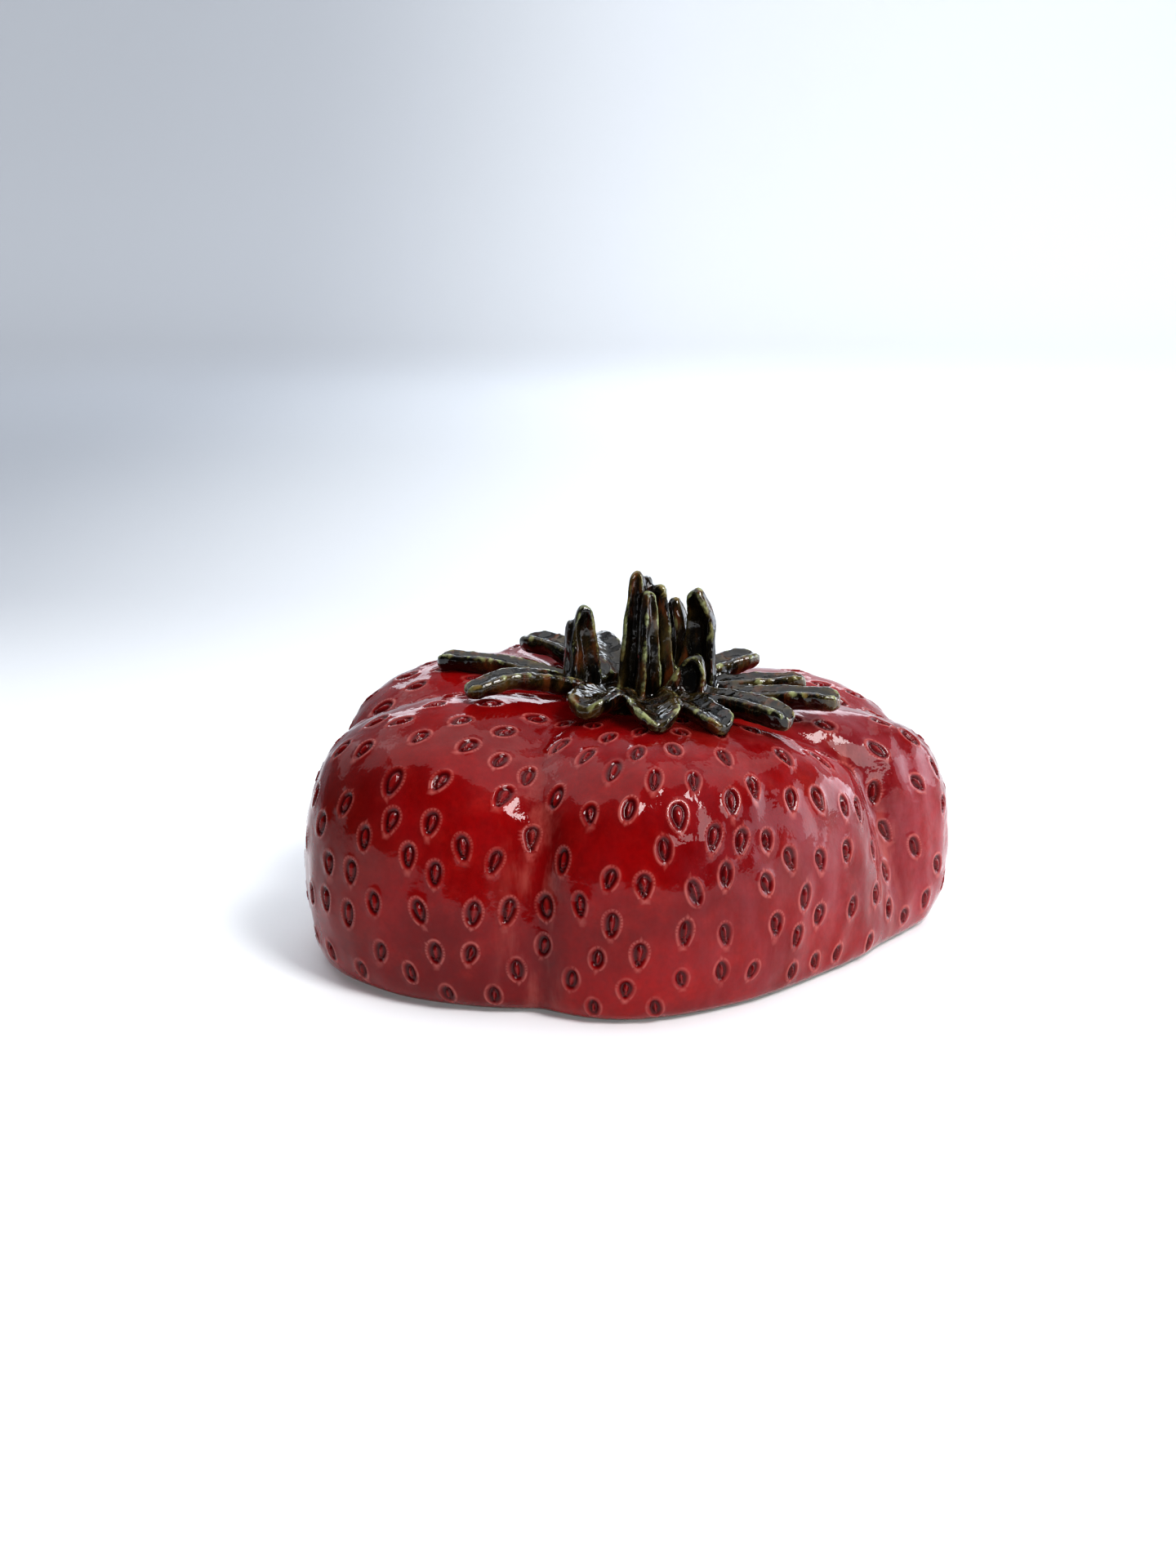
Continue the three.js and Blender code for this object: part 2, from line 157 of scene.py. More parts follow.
class Skin:
    """One skin of the body as radius and height about its axis, over heading and share of the
    way from its lowest ring to its pole."""

    def __init__(self, rings, pole, points):
        self.axis = points[pole][:2]
        places = np.array([points[ring] for ring in rings])[::-1]
        offset = places[:, :, :2] - self.axis
        middle = offset[len(rings) // 2]
        headings = np.unwrap(np.arctan2(middle[:, 1], middle[:, 0]))
        radius = self._round(headings, np.hypot(offset[..., 0], offset[..., 1]))
        height = self._round(headings, places[..., 2])
        top = np.full((1, HEADINGS), points[pole][2])
        nought = np.zeros((1, HEADINGS))
        self.radius = self._up(np.vstack([radius, nought]), -radius[-1:])
        self.height = self._up(np.vstack([height, top]), height[-1:])

    @staticmethod
    def _round(headings, values):
        """Columns at any headings resampled to HEADINGS even ones, round the closed ring."""
        turn = 2 * math.pi
        wanted = np.arange(HEADINGS) * turn / HEADINGS - math.pi
        count = len(headings)
        past_first = (wanted - headings[0]) % turn
        at = np.searchsorted(headings - headings[0], past_first, side="right") - 1
        columns = [(at + k) % count for k in (-1, 0, 1, 2)]
        spans = [(headings[columns[k + 1]] - headings[columns[k]]) % turn for k in range(3)]
        t = ((wanted - headings[at]) % turn) / spans[1]
        return hermite(*(values[:, c] for c in columns), spans, t)

    @staticmethod
    def _up(values, beyond):
        """Rows resampled to STEPS_PER_ROW times as many. beyond continues them past the pole."""
        padded = np.vstack([2 * values[:1] - values[1:2], values, beyond])
        t = (np.arange(STEPS_PER_ROW) / STEPS_PER_ROW)[None, :, None]
        rows = [padded[k : len(padded) - 3 + k, None, :] for k in range(4)]
        fine = hermite(*rows, [1, 1, 1], t)
        return np.vstack([fine.reshape(-1, HEADINGS), values[-1:]])

    def sample(self, table, heading, share):
        """A table over the sheet read at arrays of headings (radians) and shares (0 to 1)."""
        column = (heading + math.pi) / (2 * math.pi) * HEADINGS % HEADINGS
        row = np.clip(share, 0, 1) * (len(self.radius) - 1)
        left = np.floor(column).astype(int) % HEADINGS
        low = np.minimum(np.floor(row).astype(int), len(self.radius) - 2)
        across, up = column - np.floor(column), row - low
        right = (left + 1) % HEADINGS
        lower = table[low, left] * (1 - across) + table[low, right] * across
        upper = table[low + 1, left] * (1 - across) + table[low + 1, right] * across
        return lower * (1 - up) + upper * up

    def at(self, heading, share):
        """Points on the skin, for arrays of headings and shares."""
        radius = self.sample(self.radius, heading, share)
        x = self.axis[0] + radius * np.cos(heading)
        y = self.axis[1] + radius * np.sin(heading)
        return np.stack([x, y, self.sample(self.height, heading, share)], axis=-1)

    def frame_at(self, heading, share):
        """Points on the skin with their slopes along heading and share, and outward normals."""
        turn, rise = 0.004, 0.0015
        point = self.at(heading, share)
        low, high = np.clip(share - rise, 0, 1), np.clip(share + rise, 0, 1)
        ahead, behind = self.at(heading + turn, share), self.at(heading - turn, share)
        around = (ahead - behind) / (2 * turn)
        upward = (self.at(heading, high) - self.at(heading, low)) / (high - low)[..., None]
        normal = np.cross(around, upward)
        length = np.linalg.norm(normal, axis=-1, keepdims=True)
        return point, around, upward, normal / np.maximum(length, 1e-12)


body_points, body_triangles = welded(BODY)
neighbours = [set() for _ in body_points]
for a, b, c in body_triangles:
    neighbours[a].update((b, c))
    neighbours[b].update((a, c))
    neighbours[c].update((a, b))
poles = sorted(range(len(body_points)), key=lambda k: len(neighbours[k]))[-2:]
inner_pole, outer_pole = sorted(poles, key=lambda k: body_points[k][2])
outer = Skin(rings_round(outer_pole, body_points, neighbours), outer_pole, body_points)
inner = Skin(rings_round(inner_pole, body_points, neighbours), inner_pole, body_points)

waves = np.arange(HEADINGS // 2 + 1)
kept_share = np.exp(-((waves * math.radians(CREASE_BLUR)) ** 2) / 2)
blurred = np.fft.irfft(np.fft.rfft(outer.radius, axis=1) * kept_share, HEADINGS, axis=1)
crease_depth = np.maximum(blurred - outer.radius, 0)
creased = np.clip(crease_depth / CREASE_FULL_DEPTH, 0, 1)
off_the_foot = np.clip(outer.height / CREASE_FADE, 0, 1)
outer.radius -= CREASE_SHARPENING * crease_depth * off_the_foot

# ---------------------------------------------------------------- the flat map of the outer skin
# The skin is laid out as a disc, its pole in the middle, so that small shapes keep their shape
# and a flat triangulation of the disc is a good one of the skin.

shares = np.linspace(0, 1, len(outer.radius))
climb = np.hypot(np.diff(outer.radius, axis=0), np.diff(outer.height, axis=0)).mean(axis=1)
mean_radius = outer.radius.mean(axis=1)
between_rows = (mean_radius[:-1] + mean_radius[1:]) / 2
disc_radius = np.exp(-np.concatenate([[0], np.cumsum(climb / between_rows)]))
disc_radius[-1] = 0
arc = np.concatenate([[0], np.cumsum(climb)])


def on_disc(heading, share):
    """Where a point of the outer skin lies on the disc."""
    radius = np.interp(share, shares, disc_radius)
    return np.stack([radius * np.cos(heading), radius * np.sin(heading)], axis=-1)


# ---------------------------------------------------------------- the seeds


def seed_places():
    """Headings and shares of the seeds: darts thrown evenly over the skin, each kept if it is
    far enough from the ones before."""
    spread = climb * between_rows
    row_chance = np.cumsum(spread) / spread.sum()
    kept = []
    for _ in range(SEED_TRIES):
        heading = rng.uniform(-math.pi, math.pi)
        share = np.interp(rng.random(), np.concatenate([[0], row_chance]), shares)
        spot = outer.frame_at(np.array([heading]), np.array([share]))
        point, around, upward, normal = (part[0] for part in spot)
        from_axis = math.hypot(*(point[:2] - outer.axis))
        if point[2] < SEED_LOWEST or (share > 0.5 and from_axis < SEED_NEAREST_CALYX):
            continue
        around /= np.linalg.norm(around)
        upward /= np.linalg.norm(upward)
        if kept:
            offset = np.array([k[2] for k in kept]) - point
            along = offset @ upward / SEED_APART_ALONG
            across = offset @ around / SEED_APART_ACROSS
            through = offset @ normal / SEED_APART_ALONG
            if (along**2 + across**2 + through**2).min() < 1:
                continue
        kept.append((heading, share, point))
    return kept


def seed_outline(angle, half_length, half_width, taper, almond):
    """The middle of a seed's groove, up and across. taper narrows its lower end into a drop, and
    almond sharpens both ends."""

    def side(at):
        drop = ((1 + np.cos(at)) / 2 + 0.02) ** taper
        return np.sign(np.sin(at)) * np.abs(np.sin(at)) ** almond * drop

    widest = side(np.linspace(0, math.pi, 60)).max()
    return half_length * np.cos(angle), half_width * side(angle) / widest


def groove_profile(out):
    """Height of a seed's groove and rim at a distance (mm) out from the groove's middle."""
    groove = -GROOVE_DEPTH * np.exp(-((out / GROOVE_HALF_WIDTH) ** 2))
    rim = RIM_HEIGHT * np.exp(-(((out - RIM_OUT) / RIM_HALF_WIDTH) ** 2))
    kernel = KERNEL_HEIGHT * np.clip((-out - KERNEL_START) / KERNEL_RISE, 0, 1)
    return groove + rim + kernel


def seed_points(heading, share):
    """One seed's rings of points: headings, shares, and distances out from the groove."""
    size = rng.normal(1.0, SEED_SIZE_SPREAD)
    point, around, upward, _ = outer.frame_at(np.array([heading]), np.array([share]))
    from_axis = math.hypot(*(point[0][:2] - outer.axis))
    if point[0][2] >= CROWN_SEEDS_FROM:
        size *= np.interp(from_axis, CROWN_SEEDS_GROW, [SEED_SIZE_BY_CROWN, 1])
    size *= np.interp(point[0][2], FOOT_SEEDS_GROW, [SEED_SIZE_BY_FOOT, 1])
    half_length = SEED_HALF_LENGTH * size * rng.normal(1.0, SEED_LENGTH_SPREAD)
    half_width = SEED_HALF_WIDTH * size * rng.normal(1.0, SEED_WIDTH_SPREAD)
    taper = rng.uniform(0.0, SEED_MOST_TAPER)
    almond = rng.uniform(1.0, SEED_MOST_ALMOND)
    lean = rng.normal(0, SEED_LEAN)
    step = 2 * math.pi / SEED_RING_POINTS
    along, across, outs = [], [], []
    for ring, out in enumerate(SEED_RINGS):
        angle = (np.arange(SEED_RING_POINTS) + (ring % 2) / 2) * step
        fine = np.linspace(-0.02, 0.02, 3)[:, None] + angle
        up, side = zip(*(seed_outline(a, half_length, half_width, taper, almond) for a in fine))
        tangent = np.stack([up[2] - up[0], side[2] - side[0]], axis=-1)
        tangent /= np.linalg.norm(tangent, axis=-1, keepdims=True)
        along.append(up[1] + tangent[:, 1] * out * MM)
        across.append(side[1] - tangent[:, 0] * out * MM)
        outs.append(np.full(SEED_RING_POINTS, out))
    for ring_share in KERNEL_RINGS:
        along.append(along[0][::2] * ring_share)
        across.append(across[0][::2] * ring_share)
        outs.append(np.full(len(across[-1]), SEED_RINGS[0] - (1 - ring_share) * 0.8))
    along, across, outs = (np.concatenate(part) for part in (along, across, outs))
    turned_along = along * math.cos(lean) - across * math.sin(lean)
    turned_across = along * math.sin(lean) + across * math.cos(lean)
    headings = heading + turned_across / np.linalg.norm(around[0])
    rows = share + turned_along / np.linalg.norm(upward[0])
    return headings, np.clip(rows, 0.002, 1), outs


seeds = seed_places()
parts = [seed_points(heading, share) for heading, share, _ in seeds]
seed_heading, seed_share, seed_out = (np.concatenate(part) for part in zip(*parts))


# ---------------------------------------------------------------- the body's mesh


def fill_points():
    """Headings and shares of an even grid over the outer skin, leaving the seeds' rings clear."""
    rows = np.arange(GRID_SPACING, arc[-1] - GRID_SPACING / 2, GRID_SPACING)
    headings, shares_out = [], []
    for row, length in enumerate(rows):
        share = np.interp(length, arc, shares)
        circle = 2 * math.pi * np.interp(share, shares, mean_radius)
        count = max(6, round(circle / (GRID_SPACING * 1.1)))
        headings.append((np.arange(count) + (row % 2) / 2) * 2 * math.pi / count - math.pi)
        shares_out.append(np.full(count, share))
    heading, share = np.concatenate(headings), np.concatenate(shares_out)
    ringed = KDTree(len(seed_heading))
    for k, place in enumerate(outer.at(seed_heading, seed_share)):
        ringed.insert(place, k)
    ringed.balance()
    places = outer.at(heading, share)
    clear = np.array([ringed.find(place)[2] > GRID_CLEARANCE for place in places])
    return heading[clear], share[clear]


def wiped(place):
    """How far the clay at a place was smoothed with a wet hand, only on the right flank. The same share
    sets where the glaze gets a painted reflection.
    """
    x, y, _ = place
    return max(0, min(1, (x - 0.35 * y) / (80 * MM) - 0.35))


def hand_shaping(place):
    """The unevenness that fingers leave in pinched clay, as a height along the normal. Each
    noise is scaled in waves per metre, and its amount is in mm."""
    x, y, z = place
    wet = wiped(place)
    slow = noise.noise(Vector(place) * 40)
    quicker = noise.noise(Vector(place) * 110 + Vector((5, 1, 3)))
    drawn = noise.noise(Vector((x * 190, y * 190, z * 60)))
    rippled = noise.noise(Vector((x * 260, y * 260, z * 420)))
    streaked = (0.18 + 0.7 * wet) * drawn + 0.2 * wet * rippled
    return (1.1 * slow + 0.3 * quicker + streaked) * MM


grid_heading, grid_share = fill_points()
foot_heading = np.arange(FOOT_COLUMNS) * 2 * math.pi / FOOT_COLUMNS - math.pi
foot_share = np.zeros(FOOT_COLUMNS)
pole_heading, pole_share = np.zeros(1), np.ones(1)

heading = np.concatenate([foot_heading, pole_heading, grid_heading, seed_heading])
share = np.concatenate([foot_share, pole_share, grid_share, seed_share])
out = np.full(len(heading), 9.0)  # mm from a groove: far, except at the seeds' own points
out[len(out) - len(seed_out) :] = seed_out

place, _, _, normal = outer.frame_at(heading, share)
normal[FOOT_COLUMNS] = (0, 0, 1)
shaped = np.array([hand_shaping(p) for p in place])
near_foot = np.clip(place[:, 2] / FOOT_FADE, 0, 1)
lifted = shaped * near_foot + groove_profile(out)
outer_points = place + normal * lifted[:, None]
outer_points[:, 2] = np.maximum(outer_points[:, 2], 0)
outer_points[:FOOT_COLUMNS] = place[:FOOT_COLUMNS]

flat = [Vector(p) for p in on_disc(heading, share)]
_, _, outer_faces, origin, _, _ = delaunay_2d_cdt(flat, [], [], 0, 1e-9)
original = [sources[0] for sources in origin]
outer_faces = [[original[k] for k in face] for face in outer_faces]


def ring_at(radius, height, heading):
    """A ring of points about the body's axis."""
    x = outer.axis[0] + radius * np.cos(heading)
    y = outer.axis[1] + radius * np.sin(heading)
    return np.stack([x, y, np.full(len(heading), height)], axis=-1)


def underside_rings():
    """Rings from the foot's edge across the flat foot, up the vent, and over the inner skin."""
    edge = outer_points[:FOOT_COLUMNS]
    lip = ring_at(VENT_RADIUS + VENT_EDGE, 0, foot_heading)
    rings = [edge * (1 - t) + lip * t for t in np.linspace(0, 1, FOOT_RINGS + 1)[1:]]
    for turn in np.linspace(0, math.pi / 2, 5)[1:]:
        radius = VENT_RADIUS + VENT_EDGE * (1 - math.sin(turn))
        rings.append(ring_at(radius, VENT_EDGE * (1 - math.cos(turn)), foot_heading))
    floor = inner.height[0].mean()
    rings.append(ring_at(VENT_RADIUS, floor - VENT_EDGE, foot_heading))
    rings.append(ring_at(VENT_RADIUS + VENT_EDGE, floor, foot_heading))
    for inner_share in np.linspace(0, 1, INNER_RINGS + 1)[:-1]:
        rings.append(inner.at(foot_heading, np.full(FOOT_COLUMNS, inner_share)))
    return rings


GLAZED, BARE = 0, 1  # the body's material slots

rings = underside_rings()
points = [outer_points, *rings, inner.at(np.zeros(1), np.ones(1))]
starts = [0] + [len(outer_points) + k * FOOT_COLUMNS for k in range(len(rings))]
faces = list(outer_faces)
for low, high in zip(starts[:-1], starts[1:]):
    for k in range(FOOT_COLUMNS):
        after = (k + 1) % FOOT_COLUMNS
        faces.append([low + after, low + k, high + k, high + after])
last = sum(len(part) for part in points) - 1
for k in range(FOOT_COLUMNS):
    faces.append([starts[-1] + (k + 1) % FOOT_COLUMNS, starts[-1] + k, last])

body_mesh = bpy.data.meshes.new("strawberry_body")
body_mesh.from_pydata(np.concatenate(points).tolist(), [], faces)
slots = np.full(len(faces), BARE)
slots[: len(outer_faces)] = GLAZED
body_mesh.polygons.foreach_set("material_index", slots)
body_mesh.shade_smooth()


def add_attribute(mesh, name, values):
    """A number on each of a mesh's points, for its material."""
    padded = np.zeros(len(mesh.vertices), np.float32)
    padded[: len(values)] = values
    mesh.attributes.new(name, "FLOAT", "POINT").data.foreach_set("value", padded)


add_attribute(body_mesh, "groove", np.exp(-((out / GROOVE_STAIN) ** 4)))
add_attribute(body_mesh, "rim", np.exp(-(((out - RIM_OUT) / RIM_WEAR) ** 2)))
add_attribute(body_mesh, "kernel", np.clip((-out - 0.45) / 0.4, 0, 1))
add_attribute(body_mesh, "crease", outer.sample(creased, heading, share))
# Where the right flank was smoothed, which also places the painted reflection.
add_attribute(body_mesh, "wiped", [wiped(p) for p in place])

body = bpy.data.objects.new("strawberry_body", body_mesh)
bpy.context.scene.collection.objects.link(body)

# ---------------------------------------------------------------- the calyx


def mesh_arrays(mesh):
    """A mesh's points and edges as arrays."""
    points = np.empty(len(mesh.vertices) * 3)
    mesh.vertices.foreach_get("co", points)
    edges = np.empty(len(mesh.edges) * 2, np.int32)
    mesh.edges.foreach_get("vertices", edges)
    return points.reshape(-1, 3), edges.reshape(-1, 2)


def neighbour_mean(values, edges):
    """Each point's mean over the points it shares an edge with."""
    total = np.zeros_like(values)
    count = np.bincount(edges.ravel(), minlength=len(values))
    for here, there in ((0, 1), (1, 0)):
        np.add.at(total, edges[:, here], values[edges[:, there]])
    return total / np.maximum(count, 1).reshape(-1, *[1] * (values.ndim - 1))


def swollen_copy(bm, node):
    """Adds a CAD node's solid to bm, swollen a little along its normals."""
    points, triangles = welded(node)
    verts = [bm.verts.new(p) for p in points]
    for triangle in triangles:
        if len(set(triangle)) == 3:
            bm.faces.new([verts[k] for k in triangle])
    bm.normal_update()
    for vert in verts:
        vert.co += vert.normal * CALYX_SWELL


def remeshed(mesh, voxel):
    """A mesh's solids fused into one skin of even small faces."""
    holder = bpy.data.objects.new("holder", mesh)
    bpy.context.scene.collection.objects.link(holder)
    modifier = holder.modifiers.new("fuse", "REMESH")
    modifier.mode = "VOXEL"
    modifier.voxel_size = voxel
    evaluated = holder.evaluated_get(bpy.context.evaluated_depsgraph_get())
    fused = bpy.data.meshes.new_from_object(evaluated)
    bpy.data.objects.remove(holder)
    return fused


def point_normals(mesh):
    """The normals at a mesh's points."""
    normals = np.empty(len(mesh.vertices) * 3, np.float32)
    mesh.vertices.foreach_get("normal", normals)
    return normals.reshape(-1, 3)


def clay_wobble(place):
    """How far hand-cut clay stands off its plain shape, along its normal. Scales and amounts are
    as in hand_shaping."""
    x, y, z = place
    slow = noise.noise(Vector(place) * 190)
    drawn = noise.noise(Vector((x * 520, y * 520, z * 170)))
    fine = noise.noise(Vector(place) * 1300)
    return (0.42 * slow + 0.24 * drawn + 0.05 * fine) * MM


shape = bmesh.new()
for node in CALYX:
    swollen_copy(shape, node)
plain = bpy.data.meshes.new("plain")
shape.to_mesh(plain)
shape.free()
calyx_mesh = remeshed(plain, CALYX_VOXEL)
calyx_mesh.name = "strawberry_calyx"

points, edges = mesh_arrays(calyx_mesh)
for _ in range(CALYX_SMOOTHINGS):
    points += 0.5 * (neighbour_mean(points, edges) - points)
calyx_mesh.vertices.foreach_set("co", points.ravel())
calyx_mesh.update()
normals = point_normals(calyx_mesh)
points += normals * np.array([clay_wobble(p) for p in points])[:, None]
calyx_mesh.vertices.foreach_set("co", points.ravel())
calyx_mesh.update()
calyx_mesh.shade_smooth()

normals = point_normals(calyx_mesh)
bulge = ((points - neighbour_mean(points, edges)) * normals).sum(axis=1) / CALYX_VOXEL
bulge = neighbour_mean(bulge, edges)
gutter_to_edge = np.percentile(bulge, [2, 80, 98.5])
add_attribute(calyx_mesh, "edge", np.interp(bulge, gutter_to_edge, [-1, 0, 1]))

calyx = bpy.data.objects.new("strawberry_calyx", calyx_mesh)
bpy.context.scene.collection.objects.link(calyx)

# ---------------------------------------------------------------- materials


def srgb(*channels):
    """A colour given as it shows on a screen, 0 to 255, as the linear one a shader takes."""
    shown = [channel / 255 for channel in channels]
    linear = [c / 12.92 if c < 0.04 else ((c + 0.055) / 1.055) ** 2.4 for c in shown]
    return (*linear, 1)


class Shader:
    """A node material with a Principled BSDF, and short ways to wire it. A value may be a number,
    a colour or another node's output."""

    def __init__(self, name, **fixed):
        self.material = bpy.data.materials.new(name)
        self.material.use_nodes = True
        self.tree = self.material.node_tree
        self.bsdf = self.tree.nodes["Principled BSDF"]
        for socket, value in fixed.items():
            self.bsdf.inputs[socket.replace("_", " ")].default_value = value
        self.place = self.tree.nodes.new("ShaderNodeTexCoord").outputs["Object"]

    def node(self, kind, **inputs):
        """A shader node with its inputs set."""
        made = self.tree.nodes.new("ShaderNode" + kind)
        for name, value in inputs.items():
            self.put(made, name.replace("_", " "), value)
        return made

    def put(self, made, name, value):
        """Sets or wires one input of a node, given by name or number."""
        socket = made.inputs[int(name) if name.isdigit() else name]
        if isinstance(value, bpy.types.NodeSocket):
            self.tree.links.new(value, socket)
        else:
            socket.default_value = value

    def noise(self, scale, detail=3, roughness=0.5, stretch=None, seed=0.0):
        """Noise in waves per metre. Each seed gives a different one."""
        place = self.place
        if stretch:
            place = self.node("Mapping", Vector=place, Scale=stretch).outputs[0]
        made = self.tree.nodes.new("ShaderNodeTexNoise")
        made.noise_dimensions = "4D"
        self.put(made, "Vector", place)
        self.put(made, "Scale", scale)
        self.put(made, "Detail", detail)
        self.put(made, "Roughness", roughness)
        self.put(made, "W", seed)
        return made.outputs["Fac"]

    def ramp(self, value, low, high):
        """A value from low to high, as 0 to 1 with soft ends."""
        made = self.tree.nodes.new("ShaderNodeMapRange")
        made.interpolation_type = "SMOOTHSTEP"
        self.put(made, "Value", value)
        self.put(made, "From Min", low)
        self.put(made, "From Max", high)
        return made.outputs[0]

    def math(self, operation, *values):
        """A sum, product or other operation on values."""
        made = self.tree.nodes.new("ShaderNodeMath")
        made.operation = operation
        for k, value in enumerate(values):
            self.put(made, str(k), value)
        return made.outputs[0]

    def mix(self, share, first, second):
        """The first colour, taken over by the second where share is 1."""
        made = self.tree.nodes.new("ShaderNodeMix")
        made.data_type = "RGBA"
        sockets = {i.identifier: i for i in made.inputs}
        for name, value in (("Factor_Float", share), ("A_Color", first), ("B_Color", second)):
            if isinstance(value, bpy.types.NodeSocket):
                self.tree.links.new(value, sockets[name])
            else:
                sockets[name].default_value = value
        return next(o for o in made.outputs if o.identifier == "Result_Color")

    def tint(self, colour, where, strength, other):
        """A colour with another laid over it, at most as strong as strength."""
        return self.mix(self.math("MULTIPLY", where, strength), colour, other)

    def attribute(self, name):
        """One of the numbers that add_attribute put on the mesh."""
        made = self.tree.nodes.new("ShaderNodeAttribute")
        made.attribute_name = name
        return made.outputs["Fac"]

    def bump(self, height, depth, under=None):
        """Relief of a depth in metres, over the relief under."""
        made = self.tree.nodes.new("ShaderNodeBump")
        self.put(made, "Height", height)
        self.put(made, "Distance", depth)
        self.put(made, "Strength", 1.0)
        if under:
            self.put(made, "Normal", under)
        return made.outputs[0]

    def finish(self, **wired):
        """The material, with the BSDF's inputs wired."""
        for socket, value in wired.items():
            self.put(self.bsdf, socket.replace("_", " "), value)
        return self.material


def red_glaze():
    """Deep red glaze: pooled, broken and brown in patches, pale on the seeds' rims, dark in their
    grooves, and worn to clay in a ragged line at the foot, with a painted reflection on the right
    flank."""
    s = Shader("red_glaze", IOR=1.345)
    pooled = s.ramp(s.noise(28, 4, 0.55), 0.32, 0.7)
    colour = s.mix(pooled, srgb(108, 2, 5), srgb(145, 7, 9))
    broken = s.ramp(s.noise(85, 6, 0.65, seed=3.0), 0.48, 0.8)
    colour = s.tint(colour, broken, 0.45, srgb(170, 36, 28))
    brown = s.ramp(s.noise(17, 2, 0.5, seed=8.0), 0.55, 0.75)
    colour = s.tint(colour, brown, 0.5, srgb(104, 30, 18))
    crease = s.attribute("crease")
    # Darker along the creases, more where they are deeper.
    colour = s.tint(colour, crease, 0.35, srgb(84, 3, 7))
    mottle = s.ramp(s.noise(520, 5, 0.7, seed=1.0), 0.35, 0.7)
    colour = s.tint(colour, mottle, 0.3, srgb(86, 3, 6))

    # Painted reflection: a streaky pale mauve veil on the right flank, standing in for a bright wall
    # mirrored in the glaze.
    painted_veil = s.ramp(s.noise(95, 5, 0.62, stretch=(1, 1, 0.45), seed=13.0), 0.36, 0.66)
    veil_share = s.math("MULTIPLY_ADD", s.attribute("wiped"), 0.36, 0.02)
    colour = s.mix(s.math("MULTIPLY", painted_veil, veil_share), colour, srgb(176, 104, 116))

    # The seeds' rims, worn unevenly, and drips that ran down the creases.
    worn = s.ramp(s.noise(70, 3, 0.6, seed=9.0), 0.2, 0.62)
    grainy = s.ramp(s.noise(420, 3, 0.6, seed=1.0), 0.15, 0.6)
    rim = s.math("MULTIPLY", s.math("MULTIPLY", s.attribute("rim"), grainy), worn)
    colour = s.tint(colour, rim, 0.66, srgb(196, 110, 102))
    drips = s.ramp(s.noise(150, 4, 0.6, stretch=(1, 1, 0.25), seed=12.0), 0.45, 0.7)
    colour = s.tint(colour, s.math("MULTIPLY", drips, crease), 0.6, srgb(168, 84, 76))
    colour = s.tint(colour, s.attribute("groove"), 0.9, srgb(66, 4, 9))
    colour = s.tint(colour, s.attribute("kernel"), 0.85, srgb(122, 22, 22))

    # The glaze's lower edge, less than a millimetre above the foot.
    height = s.node("SeparateXYZ", Vector=s.place).outputs["Z"]
    ragged = s.math("MULTIPLY_ADD", s.noise(160, 3, seed=5.0), -0.0012, height)
    thin = s.math("SUBTRACT", 1.0, s.ramp(ragged, -0.0002, 0.0009))
    colour = s.mix(thin, colour, srgb(120, 104, 86))

    rough = s.ramp(s.noise(60, 4, 0.6, seed=2.0), -2.0, 16.0)
    peel = s.bump(s.noise(260, 3, 0.55, seed=4.0), 0.00014)
    skin = s.bump(s.noise(900, 2, 0.5, seed=6.0), 0.00002, under=peel)
    return s.finish(Base_Color=colour, Roughness=rough, Normal=skin)


def bare_clay():
    """Unglazed clay with a grainy wash, on the foot, in the vent and inside."""
    s = Shader("bare_clay", IOR=1.5, Roughness=0.9)
    grain = s.noise(900, 6, 0.65)
    wash = s.ramp(s.noise(45, 4, 0.6, seed=2.0), 0.3, 0.75)
    colour = s.mix(wash, srgb(150, 138, 118), srgb(186, 172, 150))
    colour = s.tint(colour, s.ramp(grain, 0.55, 0.75), 0.5, srgb(96, 84, 70))
    return s.finish(Base_Color=colour, Normal=s.bump(grain, 0.0002))


def olive_glaze():
    """Near-black olive glaze with amber streaks, with painted shade darkening the gutters, and pale
    where it broke thin over the edges."""
    s = Shader("olive_glaze", IOR=1.55)
    streak = s.ramp(s.noise(170, 4, 0.6, stretch=(1, 1, 0.5)), 0.42, 0.66)
    colour = s.mix(streak, srgb(11, 8, 5), srgb(72, 58, 28))
    amber = s.ramp(s.noise(300, 4, 0.6, stretch=(1, 1, 0.3), seed=4.0), 0.5, 0.68)
    colour = s.tint(colour, amber, 0.6, srgb(112, 60, 30))
    bulge = s.attribute("edge")
    # Painted shade: the hollow gutters are darkened, as shade falls in the folds.
    colour = s.tint(colour, s.ramp(bulge, -0.05, -0.7), 0.8, srgb(8, 6, 4))
    thin = s.ramp(bulge, 0.22, 1.0)
    broken = s.math("MULTIPLY", thin, s.ramp(s.noise(420, 5, 0.65, seed=2.0), 0.32, 0.58))
    greener = s.ramp(s.noise(120, 2, seed=6.0), 0.35, 0.55)
    pale = s.mix(greener, srgb(128, 108, 58), srgb(154, 160, 110))
    colour = s.tint(colour, broken, 0.78, pale)
    rough = s.ramp(s.noise(200, 3, 0.6, seed=7.0), -2.0, 15.0)
    waves = s.bump(s.noise(230, 3, 0.5, stretch=(1, 1, 0.6), seed=3.0), 0.0005)
    grain = s.bump(s.noise(700, 3), 0.00005, under=waves)
    return s.finish(Base_Color=colour, Roughness=rough, Normal=grain)


body_mesh.materials.append(red_glaze())
body_mesh.materials.append(bare_clay())
calyx_mesh.materials.append(olive_glaze())

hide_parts(BODY)
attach(body, "root")
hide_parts(*CALYX)
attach(calyx, "root")

# ---------------------------------------------------------------- the studio and the camera


